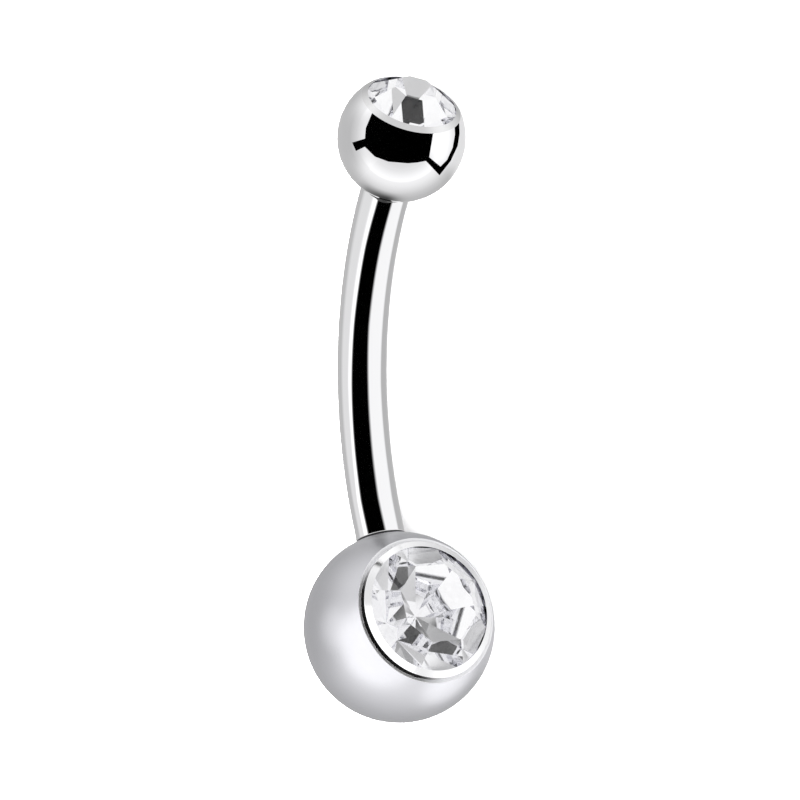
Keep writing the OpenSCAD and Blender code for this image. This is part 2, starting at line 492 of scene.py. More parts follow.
@dataclass(frozen=True)
class SimpleCut:
    """A round simple cut, with the foot of its crown facets at height 0.

    Each facet touches the round girdle at its middle and meets the next one along
    a ridge that stands out from it, so the crown's ridges end above height 0 and
    the pavilion's end below the girdle. The pavilion's ridges lie under the crown's
    (first_keel 0) or under the middles of its facets (first_keel 1).
    """

    diameter: float
    turn: float
    table_share: float
    crown_angle: float
    pavilion_angle: float
    first_keel: int
    girdle: float = 0.07

    def radius(self) -> float:
        """Half the stone's diameter."""
        return self.diameter / 2

    def table(self) -> float:
        """Radius of the table's corners."""
        return self.radius() * self.table_share

    def ridge_out(self) -> float:
        """How far a ridge's end stands out from its facets' middles."""
        return self.radius() * (1 - math.cos(math.pi / 8))

    def edge_rise(self, cover: float) -> float:
        """How far the crown's ridges have risen at a distance in from the stone's edge."""
        return (self.ridge_out() + cover * math.cos(math.pi / 8)) * rise(self.crown_angle)

    def keel(self) -> float:
        """How far the pavilion's ridges end below its facets' middles."""
        return self.ridge_out() * rise(self.pavilion_angle)

    def point(self) -> float:
        """Height of the stone's lower point."""
        return -self.girdle - self.radius() * rise(self.pavilion_angle)

    def corners(self, clear: float) -> np.ndarray:
        """Lays out the stone's corners (r cos a, r sin a, z).

        The table has 8 and the girdle 16 and 16, and there is one point. On each
        crown facet follows an arc of 8 where the facet crosses the lip's edge, the
        circle of radius clear; there the height is (stone's radius - clear * cos(angle
        off the facet's middle)) * the crown's slope.

        Args:
            clear: Radius of the lip's edge.

        Returns:
            105 points.
        """
        r = self.radius()
        step, along = np.arange(16), np.arange(64)
        crown = (r - self.table() * math.cos(math.pi / 8)) * rise(self.crown_angle)
        upper = self.edge_rise(0) * (step % 2 == 0)
        under = -self.girdle - self.keel() * (step % 2 == self.first_keel)
        crossing = (r - clear * np.cos((along % 8 - 4) * math.pi / 32)) * rise(self.crown_angle)
        radius = [np.full(8, self.table()), np.full(32, r), [0], np.full(64, clear)]
        radius = np.concatenate(radius)
        eighths = np.concatenate([step[:8] * 2, step, step, [0], along / 4])
        angle = eighths * math.pi / 8 + math.radians(self.turn)
        height = np.concatenate([np.full(8, crown), upper, under, [self.point()], crossing])
        return np.stack([radius * np.cos(angle), radius * np.sin(angle), height], axis=1)

    def facets(self) -> tuple[list, list]:
        """Lists the facets' corners.

        Returns:
            The clear facets within the lip's edge, and the foiled ones.
        """
        upper, under, tip, edge = 8, 24, 40, 41
        above = [list(range(8))]
        below = []
        for i in range(8):
            first, last = upper + 2 * i, upper + (2 * i + 2) % 16
            crossing = [edge + (8 * i + j) % 64 for j in range(9)]
            above.append([i, *crossing, (i + 1) % 8])
            below.append([first, first + 1, last, *crossing[::-1]])
            keels = [under + (2 * i + self.first_keel + j) % 16 for j in range(3)]
            below.append([keels[0], tip, keels[2], keels[1]])
        for j in range(16):
            k = (j + 1) % 16
            below.append([upper + j, under + j, under + k, upper + k])
        return above, below


@dataclass(frozen=True)
class Setting:
    """A turned lip round a stone, in a ball."""

    ball_r: float
    stone: SimpleCut
    lip_w: float
    slope: float
    line_w: float = 0.0
    line_depth: float = 0.22
    cover: float = 0.09
    edge_t: float = 0.03
    sink: float = 0.01
    gap: float = 0.02

    def inner(self) -> float:
        """Radius of the lip's inner edge."""
        return self.stone.radius() - self.cover

    def outer(self) -> float:
        """Radius of the lip's outer edge."""
        return self.inner() + self.lip_w

    def on_ball(self, r: float) -> float:
        """Height of the ball's skin at a radius from the stone's axis."""
        return math.sqrt(self.ball_r**2 - r**2)

    def foot(self) -> float:
        """Height of the lip's outer edge."""
        return self.on_ball(self.outer()) - self.sink

    def top(self) -> float:
        """Height of the lip's inner edge."""
        return self.foot() + self.lip_w * rise(self.slope)

    def girdle_height(self) -> float:
        """Height of the top of the stone's girdle above the ball's centre."""
        return self.top() - self.edge_t - self.gap - self.stone.edge_rise(self.cover)

    def profile(self) -> Profile:
        """Draws the setting from the bottom of its hollow to the ball's skin.

        Returns:
            The profile of (radius, height) points.
        """
        stone, middle = self.stone, self.girdle_height()
        wall = stone.radius() + self.gap
        tip = middle + stone.point() - self.gap / math.cos(math.radians(stone.pavilion_angle))
        under = middle - stone.girdle - stone.keel() - self.gap
        profile = Profile().run(Zone.SETTING, (0, tip), (wall, under))
        profile.run(Zone.SETTING, (wall, middle + stone.edge_rise(0) + self.gap))
        profile.run(Zone.SETTING, (self.inner(), self.top() - self.edge_t))
        profile.run(Zone.FOOT if self.line_w else Zone.LINE, (self.inner(), self.top()))
        profile.run(Zone.LIP, (self.outer(), self.foot()))
        if self.line_w:
            edge = self.outer() + self.line_w
            profile.run(Zone.LINE, (self.outer(), self.foot() - self.line_depth))
            return profile.run(Zone.FOOT, (edge, self.on_ball(edge)))
        meets = self.skin_angle()
        return profile.run(
            Zone.LIP, (self.ball_r * math.sin(meets), self.ball_r * math.cos(meets))
        )

    def skin_angle(self) -> float:
        """Finds where the lip, or the line round it, meets the ball's skin.

        Without a line, the lip's slope runs on outwards until it meets the ball:
        r cos(t) + r sin(t) tan(slope) = foot + outer tan(slope).

        Returns:
            The angle from the stone's axis.
        """
        if self.line_w:
            return math.asin((self.outer() + self.line_w) / self.ball_r)
        slope = math.radians(self.slope)
        height = self.foot() + self.outer() * rise(self.slope)
        return slope + math.acos(min(1.0, height * math.cos(slope) / self.ball_r))


def bore_runs(
    profile: Profile, sizes: RingSizes, ball_d: float, post_d: float, post_len: float, side: int
) -> None:
    """Adds the flat seat and the bore to a profile that has reached the seat's edge.

    Args:
        profile: The profile to add to.
        sizes: The ring's sizes.
        ball_d: The ball's diameter.
        post_d: Diameter of the post in the bore.
        post_len: Length of that post.
        side: 1 where the bar is towards the axis's end, -1 where it is behind.
    """
    seat = sizes.seat(ball_d)
    bore = post_d / 2 + sizes.post_gap
    bottom = seat - post_len - sizes.bore_relief
    for point in ((bore, side * seat), (bore, side * bottom), (0, side * bottom)):
        profile.run(Zone.SEAT, point)


@dataclass
class Ring:
    """The whole ring: its sizes, its resting place and its finishes."""

    sizes: RingSizes
    finishes: "Finishes"
    low_setting: Setting
    top_setting: Setting
    ease: float = 0.018
    columns: int = 192
    row_step: float = math.radians(1.8)
    body_rows: int = 200
    thread_rows: int = 90
    foil_margin: float = 0.005

    def laid(self, circles: Circles) -> Circles:
        """Lays a stack from the plane of the curve down to where the ring rests.

        Args:
            circles: The stack.

        Returns:
            The stack at rest.
        """
        turn, place = self.sizes.at_rest()
        centre = circles.centre @ turn.T + place
        first, second = circles.first @ turn.T, circles.second @ turn.T
        return replace(circles, centre=centre, first=first, second=second)

    def bar(self) -> bpy.types.Object:
        """Makes the bent bar: a profile of radii carried along its curve.

        Along s the middle line is straight below s = 0, then turns on curve_r, and
        is straight again past the top shoulder. The top post carries a thread:
        radius = crest - depth * (the distance of s / pitch - angle / turn from the
        nearest whole number, doubled), faded in and out at its ends.

        Returns:
            The object.
        """
        z = self.sizes
        length = z.curve_r * z.turn()
        bar_r, post_r, thread_r = z.bar_d / 2, z.post_d / 2, z.thread_d / 2
        chamfer = z.bar_chamfer
        low_end = -(z.low_straight + z.post_len + z.seat_gap)
        top_end = length + z.thread_len + z.seat_gap
        body = np.linspace(-z.low_straight + chamfer, length - chamfer, self.body_rows)[1:]
        thread = np.linspace(length, top_end - chamfer, self.thread_rows)[1:]
        profile = Profile().run(Zone.SEAT, (0, low_end), (post_r - chamfer, low_end))
        for zone, *line in (
            (Zone.SEAT, (post_r, low_end + chamfer)),
            (Zone.SEAT, (post_r, -z.low_straight)),
            (Zone.SKIN, (bar_r - chamfer, -z.low_straight)),
            (Zone.FOOT, (bar_r, -z.low_straight + chamfer)),
            (Zone.SKIN, *[(bar_r, s) for s in body]),
            (Zone.FOOT, (bar_r - chamfer, length)),
            (Zone.SEAT, (thread_r, length)),
            (Zone.SEAT, *[(thread_r, s) for s in thread]),
            (Zone.SEAT, (thread_r - z.thread_chamfer, top_end)),
            (Zone.SEAT, (0, top_end)),
        ):
            profile.run(zone, *line)
        points, zones = profile.eased(self.ease)
        radius, s = points[:, :1], points[:, 1:]

        curved = np.clip(s, 0, length)
        out, onward = along_bend(curved[:, 0] / z.curve_r)
        across = np.tile([0.0, 0.0, 1.0], (len(s), 1))
        angle = np.linspace(0, 1, self.columns, endpoint=False)[None, :]
        wave = 2 * np.abs((s / z.thread_pitch - angle + 0.5) % 1 - 0.5)
        (start, rise), (stop, fall) = z.thread_start, z.thread_stop
        fade_in = np.clip((s - length - start) / rise, 0, 1)
        fade_out = np.clip((top_end - stop - s) / fall, 0, 1)
        depth = z.thread_depth * fade_in * fade_out * (radius > z.thread_depth)
        centre = z.curve_r * out + (s - curved) * onward
        stack = Circles(centre, out, across, radius - depth * wave, zones)
        f = self.finishes
        # The chamfers at the bar's two shoulders get near-black steel: painted shade where the bar
        # meets the balls.
        looks = {Zone.SKIN: f.mirror, Zone.SEAT: f.mirror, Zone.FOOT: f.foot}
        return make_mesh("bent_bar", self.laid(stack), self.columns, looks)

    def lower_ball(self) -> bpy.types.Object:
        """Makes the larger ball, whose stone is square to the bar.

        Returns:
            The object.
        """
        z, setting, step = self.sizes, self.low_setting, self.row_step
        centre, radius = z.low_centre(), setting.ball_r
        stone_axis, bar_axis = np.array([-1.0, 0, 0]), np.array([0, 1.0, 0])
        second = np.cross(stone_axis, bar_axis)
        meets = setting.skin_angle()
        seat_angle = math.acos(z.seat(z.low_ball_d) / radius)
        begin, end = meets + step, seat_angle + step

        cut = setting.profile().run(Zone.SKIN, *arc(radius, meets, begin, step))
        start = (radius * math.sin(end), radius * math.cos(end))
        foot = Profile().run(Zone.SKIN, start, *arc(radius, end, seat_angle, step))
        bore_runs(foot, z, z.low_ball_d, z.post_d, z.post_len, 1)
        circles = [(stone_axis, radius * math.cos(begin)), (bar_axis, radius * math.cos(end))]
        skin = between_two_circles(centre, radius, *circles, second, step)
        stack = skin.after(Frame3(centre, stone_axis, bar_axis, second).turned(cut, self.ease))
        below = Frame3(centre, bar_axis, stone_axis, second).turned(foot, self.ease)
        f = self.finishes
        looks = {Zone.SKIN: f.satin, Zone.LIP: f.lip, Zone.LINE: f.line, Zone.SETTING: f.cup}
        looks |= {Zone.FOOT: f.turned, Zone.SEAT: f.satin}
        return make_mesh("lower_jewelled_ball", self.laid(below.after(stack)), self.columns, looks)

    def top_ball(self) -> bpy.types.Object:
        """Makes the smaller ball, whose stone is in line with the bar.

        Returns:
            The object.
        """
        z, setting = self.sizes, self.top_setting
        radius, meets = setting.ball_r, setting.skin_angle()
        out, onward = along_bend(z.turn())
        seat_angle = math.pi - math.acos(z.seat(z.top_ball_d) / radius)
        cut = setting.profile().run(Zone.SKIN, *arc(radius, meets, seat_angle, self.row_step))
        bore_runs(cut, z, z.top_ball_d, z.thread_d, z.thread_len, -1)
        place = Frame3(z.top_centre(), onward, out, np.cross(onward, out))
        stack = place.turned(cut, self.ease)
        f = self.finishes
        looks = {Zone.SKIN: f.ball_mirror, Zone.LIP: f.rim, Zone.LINE: f.edge}
        # The flat seat and the bore get near-black steel: painted shade where the ball meets the
        # bar.
        looks |= {Zone.SETTING: f.cup, Zone.SEAT: f.foot}
        return make_mesh("top_jewelled_ball", self.laid(stack), self.columns, looks)

    def stone_place(self, setting: Setting) -> Frame3:
        """Works out how a stone lies at rest.

        Args:
            setting: The setting that holds it.

        Returns:
            The middle of its girdle's top, its axis and the directions across it.
        """
        z = self.sizes
        if setting is self.low_setting:
            centre, axis, first = z.low_centre(), np.array([-1.0, 0, 0]), np.array([0, 0, 1.0])
        else:
            centre, (first, axis) = z.top_centre(), along_bend(z.turn())
        turn, place = z.at_rest()
        origin = turn @ (centre + setting.girdle_height() * axis) + place
        return Frame3(origin, turn @ axis, turn @ first, turn @ np.cross(axis, first))

    def cut_stone(
        self, name: str, setting: Setting, crystal: bpy.types.Material
    ) -> bpy.types.Object:
        """Makes a stone, clear within the lip's edge and foiled outside and below it.

        Args:
            name: The piece's name.
            setting: The setting that holds it.
            crystal: What its clear facets are made of.

        Returns:
            The object, with flat facets.
        """
        corners = setting.stone.corners(setting.inner() + self.foil_margin)
        points = self.stone_place(setting).placed(corners)
        above, below = setting.stone.facets()
        index = [0] * len(above) + [1] * len(below)
        looks = [crystal, self.finishes.foil]
        return add_mesh(name, points, above + below, looks, index, smooth=False)

    def build(self) -> None:
        """Makes the pieces and puts each on its body, in place of its node."""
        cut, low, top = self.cut_stone, self.low_setting, self.top_setting
        f = self.finishes
        for piece, node, body, slot in (
            (self.bar(), "bar", "curved_bar", "bar_steel"),
            (self.lower_ball(), "lower_ball", "curved_bar", "lower_ball_steel"),
            (cut("lower_cut_stone", low, f.low_crystal), "lower_stone", "curved_bar", "crystal"),
            (self.top_ball(), "top_ball", "screw_ball", "top_ball_steel"),
            (cut("top_cut_stone", top, f.top_crystal), "top_stone", "screw_ball", "crystal"),
        ):
            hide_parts(node)
            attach(piece, body)
            LOG.info("%s stands for %s and rides on %s", piece.name, node, body)


def add_node(
    tree: bpy.types.NodeTree, kind: str, inputs: dict | None = None, **settings: object
) -> bpy.types.Node:
    """Adds a shader node.

    Args:
        tree: The material's, world's or group's nodes.
        kind: The node's type, without the word ShaderNode.
        inputs: The value of each socket, or the socket that feeds it, by name or number.
        settings: The node's own properties.

    Returns:
        The node.
    """
    node = tree.nodes.new(f"ShaderNode{kind}")
    for key, value in settings.items():
        setattr(node, key, value)
    for key, value in (inputs or {}).items():
        if isinstance(value, bpy.types.NodeSocket):
            tree.links.new(value, node.inputs[key])
        else:
            node.inputs[key].default_value = value
    return node


def make_material(name: str, **values: object) -> bpy.types.Material:
    """Makes a material with one Principled BSDF.

    Args:
        name: The material's name.
        values: The shader's sockets, with underscores for spaces.

    Returns:
        The material.
    """
    material = bpy.data.materials.new(name)
    material.use_nodes = True
    shader = material.node_tree.nodes["Principled BSDF"]
    for key, value in values.items():
        shader.inputs[key.replace("_", " ")].default_value = value
    return material


def start_group(name: str, inputs: tuple, outputs: tuple) -> tuple:
    """Starts a node group. Its sockets are numbers, and Centre is a vector.

    Args:
        name: The group's name.
        inputs: The names of its inputs.
        outputs: The names of its outputs.

    Returns:
        The group, what its inputs give, and the sockets of its outputs.
    """
    group = bpy.data.node_groups.new(name, "ShaderNodeTree")
    for way, labels in (("INPUT", inputs), ("OUTPUT", outputs)):
        for label in labels:
            kind = "NodeSocketVector" if label == "Centre" else "NodeSocketFloat"
            group.interface.new_socket(name=label, in_out=way, socket_type=kind)
    begin, end = group.nodes.new("NodeGroupInput"), group.nodes.new("NodeGroupOutput")
    return group, begin.outputs, end.inputs


def haze_group() -> bpy.types.NodeTree:
    """Makes the polish haze: a roughness that wanders between two values, and the noise itself.

    Roughness = low + (high - low) * (noise - 0.35) / 0.3, kept between the two.

    Returns:
        The group.
    """
    names = (("Scale", "Low", "High"), ("Roughness", "Height"))
    group, given, result = start_group("polish_haze", *names)
    place = add_node(group, "TexCoord").outputs["Object"]
    noise = {"Vector": place, "Scale": given["Scale"], "Detail": HAZE_DETAIL}
    height = add_node(group, "TexNoise", noise).outputs["Fac"]
    spread = {"Value": height, "From Min": HAZE_RANGE[0], "From Max": HAZE_RANGE[1]}
    spread |= {"To Min": given["Low"], "To Max": given["High"]}
    roughness = add_node(group, "MapRange", spread).outputs["Result"]
    group.links.new(roughness, result["Roughness"])
    group.links.new(height, result["Height"])
    return group


def painted_shading_group() -> bpy.types.NodeTree:
    """Makes the mask of painted shading: it fades out from near to far off a centre.

    Returns:
        The group.
    """
    group, given, result = start_group("painted_shading_mask", ("Centre", "Near", "Far"), ("Mask",))
    ends = {0: add_node(group, "TexCoord").outputs["Object"], 1: given["Centre"]}
    apart = add_node(group, "VectorMath", ends, operation="DISTANCE").outputs["Value"]
    fade = {"Value": apart, "From Min": given["Near"], "From Max": given["Far"]}
    fade |= {"To Min": 1.0, "To Max": 0.0}
    mask = add_node(group, "MapRange", fade, interpolation_type="SMOOTHSTEP")
    group.links.new(mask.outputs["Result"], result["Mask"])
    return group


@dataclass(frozen=True)
class Effects:
    """The shader node groups that the finishes share."""

    haze: bpy.types.NodeTree
    painted_shading: bpy.types.NodeTree

    def finish(
        self,
        name: str,
        colour: tuple,
        scale: float,
        low: float,
        high: float,
        bump: float = 0.0,
        **values: object,
    ) -> bpy.types.Material:
        """Makes a finish whose polish wanders.

        Args:
            name: The material's name.
            colour: Its colour.
            scale: How many waves of haze to a metre.
            low: Its least roughness.
            high: Its greatest roughness.
            bump: Height of its texture in metres.
            values: The shader's other sockets, with underscores for spaces.

        Returns:
            The material.
        """
        material = make_material(name, Base_Color=(*colour, 1), **values)
        tree = material.node_tree
        shader = tree.nodes["Principled BSDF"]
        given = {"Scale": scale, "Low": low, "High": high}
        haze = add_node(tree, "Group", given, node_tree=self.haze, name="haze")
        tree.links.new(haze.outputs["Roughness"], shader.inputs["Roughness"])
        if bump:
            given = {"Distance": bump, "Height": haze.outputs["Height"]}
            relief = add_node(tree, "Bump", given)
            tree.links.new(relief.outputs["Normal"], shader.inputs["Normal"])
        return material

    def with_painted_shading(
        self,
        material: bpy.types.Material,
        centre: np.ndarray,
        reach: tuple,
        colour: tuple,
        roughness: float,
    ) -> bpy.types.Material:
        """Adds painted shading round a point to a finish: a colour and a roughness near it.

        Args:
            material: The finish.
            centre: The middle of the painted shading, a joint or a point on a lip's line, in
                millimetres.
            reach: How far from it, in millimetres, the painted shading is full and has faded out.
            colour: The colour painted near it: darker for painted shade, lighter for painted
                light.
            roughness: The roughness near it.

        Returns:
            The same material.
        """
        tree = material.node_tree
        shader, haze = tree.nodes["Principled BSDF"], tree.nodes["haze"]
        given = {"Centre": (centre * MM).tolist(), "Near": reach[0] * MM, "Far": reach[1] * MM}
        mask = add_node(tree, "Group", given, node_tree=self.painted_shading).outputs["Mask"]
        plain = tuple(shader.inputs["Base Color"].default_value)
        # Painted shading: the base colour fades to the given colour near the centre.
        tint = add_node(tree, "Mix", {0: mask, 6: plain, 7: (*colour, 1)}, data_type="RGBA")
        dull = add_node(tree, "Mix", {0: mask, 2: haze.outputs["Roughness"], 3: roughness})
        tree.links.new(tint.outputs[2], shader.inputs["Base Color"])
        tree.links.new(dull.outputs[0], shader.inputs["Roughness"])
        return material


@dataclass(frozen=True)
class Finishes:
    """The ring's finishes."""

    mirror: bpy.types.Material
    ball_mirror: bpy.types.Material
    satin: bpy.types.Material
    lip: bpy.types.Material
    rim: bpy.types.Material
    edge: bpy.types.Material
    foot: bpy.types.Material
    turned: bpy.types.Material
    line: bpy.types.Material
    cup: bpy.types.Material
    low_crystal: bpy.types.Material
    top_crystal: bpy.types.Material
    foil: bpy.types.Material

    @classmethod
    def made(cls, low_joint: np.ndarray, top_joint: np.ndarray, gap: np.ndarray) -> "Finishes":
        """Makes them all.

        Args:
            low_joint: Where the bar meets the larger ball, in millimetres.
            top_joint: Where the bar meets the smaller ball.
            gap: Where the painted shade on the line round the larger stone's lip is darkest.

        Returns:
            The finishes.
        """
        effects = Effects(haze_group(), painted_shading_group())
        make, with_painted_shading = effects.finish, effects.with_painted_shading
        steel, glass = {"Metallic": 1.0}, {"Transmission_Weight": 1.0}
        ball = make("ball_mirror_steel", (0.8, 0.8, 0.81), 1500, 0.025, 0.04, **steel)
        satin = make("satin_steel", (0.56, 0.56, 0.585), 9000, 0.33, 0.38, 2e-7, **steel)
        line = make("dark_line", (0.78, 0.78, 0.79), 4000, 0.4, 0.5, **steel)
        return cls(
            mirror=make("mirror_steel", (0.8, 0.8, 0.81), 1500, 0.025, 0.04, **steel),
            # Painted shade: the smaller ball goes darker, and duller, within 0.85 to 1.2 mm of the
            # bar's end.
            ball_mirror=with_painted_shading(ball, top_joint, (0.85, 1.2), (0.6, 0.6, 0.61), 0.36),
            # Painted light: the satin ball goes a little lighter, and rougher, within 1.0 to 2.2
            # mm of the bar's end.
            satin=with_painted_shading(satin, low_joint, (1.0, 2.2), (0.58, 0.58, 0.6), 0.65),
            lip=make("bright_lip", (0.86, 0.86, 0.87), 4000, 0.1, 0.14, **steel),
            rim=make("smooth_rim", (0.7, 0.7, 0.705), 4000, 0.14, 0.18, **steel),
            edge=make("shaded_edge", (0.95, 0.95, 0.96), 4000, 0.8, 0.9, **steel),
            # Painted shade: near-black steel where the bar and the balls meet.
            foot=make("painted_joint_shade", (0.16, 0.16, 0.165), 4000, 0.35, 0.45, **steel),
            turned=make("turned_slope", (0.9, 0.9, 0.91), 4000, 0.65, 0.75, **steel),
            # Painted shade: the line round the larger lip goes nearly black within 1.7 mm of that
            # point, fading out by 2.7 mm.
            line=with_painted_shading(line, gap, (1.7, 2.7), (0.003, 0.003, 0.003), 0.6),
            cup=make("foiled_cup", (0.9, 0.9, 0.91), 4000, 0.06, 0.1, **steel),
            low_crystal=make("lower_crystal", (1, 1, 1), 3000, 0.0, 0.004, IOR=1.62, **glass),
            top_crystal=make("top_crystal", (1, 1, 1), 3000, 0.0, 0.004, IOR=1.5, **glass),
            foil=make("foil", (0.93, 0.93, 0.94), 5000, 0.0, 0.03, 1e-7, **steel),
        )


@dataclass
class Studio:
    """The floor, the soft lights, the cards that the ring mirrors and the camera.

    Lengths are in millimetres. A reach is how far a card or a light stands off the
    piece that it is for, and the camera looks past the larger ball by the aim.
    """

    low_centre: np.ndarray
    top_centre: np.ndarray
    top_r: float
    right: tuple = (0.9507, -0.0156, -0.3095)
    up: tuple = (-0.0410, 0.9837, -0.1756)
    aim: tuple = (0.0273, 7.119)
    distance: float = 200.0
    focal_px: float = 6383.2
    frame_px: int = 800
    sensor_mm: float = 36.0
    nearest: float = 10.0
    floor_reach: float = 600.0
    floor_gap: float = 0.02
    fill_watts: float = 3.2
    flag_reach: float = 5.0
    bounce_reach: float = 2.2
    sheet_reach: float = 0.7
    disc_reach: float = 60.0
    dome_level: float = 1.05
    patch_blur: float = 0.7

    def __post_init__(self) -> None:
        """Makes the cards' material."""
        self.glow = glowing("glowing_card", "level")

    def axes(self) -> np.ndarray:
        """Squares up the view's directions.

        Returns:
            The directions to the right, up and towards the camera, one in a row.
        """
        right = unit(np.array(self.right))
        up = np.array(self.up)
        up = unit(up - right * (right @ up))
        return np.array([right, up, np.cross(right, up)])

    def camera_place(self) -> np.ndarray:
        """Where the camera stands, in millimetres."""
        return self.low_centre + np.array([*self.aim, self.distance]) @ self.axes()

    def camera(self) -> None:
        """Puts the camera where the photograph was taken from."""
        data = bpy.data.cameras.new("camera")
        data.sensor_width = self.sensor_mm
        data.lens = self.focal_px / self.frame_px * self.sensor_mm
        data.clip_start = self.nearest * MM
        camera = add_object("camera", data)
        matrix = np.eye(4)
        matrix[:3] = np.column_stack([*self.axes(), self.camera_place() * MM])
        camera.matrix_world = Matrix(matrix.tolist())
        bpy.context.scene.camera = camera

    def floor(self) -> None:
        """Makes the pale floor that the ring lies on."""
        points = self.floor_reach * np.array([(-1, -1, 0), (1, -1, 0), (1, 1, 0), (-1, 1, 0)])
        pale = make_material("pale_floor", Base_Color=(0.9, 0.9, 0.9, 1), Roughness=0.9)
        floor = add_mesh("floor", points, [(0, 1, 2, 3)], [pale], smooth=False)
        floor.visible_glossy = floor.visible_transmission = False

    def soft_light(
        self, name: str, shape: str, size: float, watts: float, place: object
    ) -> bpy.types.Object:
        """Hangs an area light that neither the camera nor the glass sees.

        Args:
            name: The light's name.
            shape: SQUARE or DISK.
            size: How wide it is, in metres.
            watts: Its power.
            place: Where it hangs, in metres.

        Returns:
            The light.
        """
        data = bpy.data.lights.new(name, "AREA")
        data.shape, data.size, data.energy = shape, size, watts
        light = add_object(name, data)
        light.location = place
        light.visible_camera = light.visible_transmission = False
        return light

    def fill(self) -> None:
        """Adds the soft light overhead, which the steel doesn't mirror."""
        place, size = (0.02, 0.0, 0.25), 0.2
        light = self.soft_light("overhead", "SQUARE", size, self.fill_watts, place)
        light.visible_glossy = False

    def hidden_card(
        self,
        name: str,
        points: np.ndarray,
        lit: np.ndarray,
        levels: object = 0.0,
        refracted: bool = False,
    ) -> None:
        """Puts up a card that shows only in mirrors, or only through cut stones.

        Args:
            name: The card's name.
            points: Its grid of points, rows x columns x 3, in millimetres.
            lit: A point that it faces. From behind it is clear.
            levels: How bright it glows: one level, or one for each column or point.
            refracted: True if it shows through cut stones and not in mirrors.
        """
        rows, columns = points.shape[:2]
        levels = np.broadcast_to(levels, (rows, columns))
        i, j = rows // 2, columns // 2
        middle = points[i, j]
        if np.cross(points[i, j - 1] - middle, points[i - 1, j] - middle) @ (lit - middle) < 0:
            points, levels = points[:, ::-1], levels[:, ::-1]
        first = (np.arange(rows - 1) * columns)[:, None] + np.arange(columns - 1)
        quads = np.stack([first, first + 1, first + columns + 1, first + columns], axis=-1)
        quads = quads.reshape(-1, 4).tolist()
        card = add_mesh(name, points.reshape(-1, 3), quads, [self.glow])
        values = card.data.attributes.new("level", "FLOAT", "POINT")
        values.data.foreach_set("value", levels.astype(np.float32).ravel())
        card.visible_camera = card.visible_shadow = card.visible_diffuse = False
        card.visible_glossy, card.visible_transmission = not refracted, refracted

    def bar_sheet(self, sizes: RingSizes) -> None:
        """Bends a sheet of soft bands round the bar, which the bar mirrors.

        A row goes round the bar at one share of its bend. A point at share s of the
        bar's half width, as the camera sees it, looks along r = 2 (n . v) n - v, and
        the sheet stands at a fixed reach along that line.

        Args:
            sizes: The ring's sizes.
        """
        rows = np.array(BAR_BANDS).T
        share = np.linspace(rows[0, 0], rows[0, -1], SHEET_ROWS)
        edges = np.stack([np.interp(share, rows[0], edge) for edge in rows[1:]], axis=1)
        s = filled_in(edges, 1, BAND_STEPS)[:, :, None]

        turn, place = sizes.at_rest()
        out, onward = (way @ turn.T for way in along_bend(np.maximum(share, 0) * sizes.turn()))
        straight = np.minimum(share, 0) * sizes.turn() * sizes.curve_r
        centre = sizes.curve_r * out + place + straight[:, None] * onward
        view = unit(self.camera_place() - centre)
        side = unit(np.cross(onward, view))
        side *= np.sign(side @ self.axes()[0])[:, None]
        front = np.cross(side, onward)
        front *= np.sign((front * view).sum(1))[:, None]
        normal = s * side[:, None] + np.sqrt(1 - s**2) * front[:, None]
        look = mirrored(normal, view[:, None])
        points = centre[:, None] + sizes.bar_d / 2 * normal + self.sheet_reach * look

        bands = np.linspace(0, edges.shape[1] - 1, s.shape[1])
        levels = np.interp(bands, *np.array(BAR_LEVELS).T)
        self.hidden_card("bar_sheet", points, centre[len(centre) // 2], levels)

    def flags(self) -> None:
        """Hangs black flags, drawn as rows of points (x, y), where the top ball mirrors them."""
        for name, rows in TOP_BALL_FLAGS.items():
            sketch = filled_in(filled_in(np.array(rows), 0, FLAG_STEPS), 1, FLAG_STEPS)
            self.hidden_card(name, self.thrown(sketch, self.flag_reach), self.top_centre)

    def thrown(self, sketch: np.ndarray, reach: float) -> np.ndarray:
        """Throws points drawn on the top ball to where the ball mirrors them from.

        A point looks along r = 2 (n . v) n - v, with n the skin's normal and v the
        way to the camera, and is thrown to where that line leaves a sphere round
        the ball, or where it meets the floor.

        Args:
            sketch: The points (x, y) as the camera sees them, in shares of the radius.
            reach: Radius of the sphere in millimetres.

        Returns:
            The points in millimetres.
        """
        ball, radius = self.top_centre, self.top_r
        view = unit(self.camera_place() - ball)
        right = self.axes()[0]
        right = unit(right - view * (right @ view))
        x, y = sketch[..., :1], sketch[..., 1:]
        normal = x * right + y * np.cross(view, right) + np.sqrt(1 - x**2 - y**2) * view
        look = mirrored(normal, view)
        start = ball + radius * normal
        middle = radius * (normal * look).sum(-1, keepdims=True)
        far = -middle + np.sqrt(middle**2 + reach**2 - radius**2)
        falls, height = look[..., 2:], start[..., 2:] - self.floor_gap
        landing = np.where(falls < 0, height / np.maximum(-falls, 1e-6), np.inf)
        return start + np.minimum(far, landing) * look

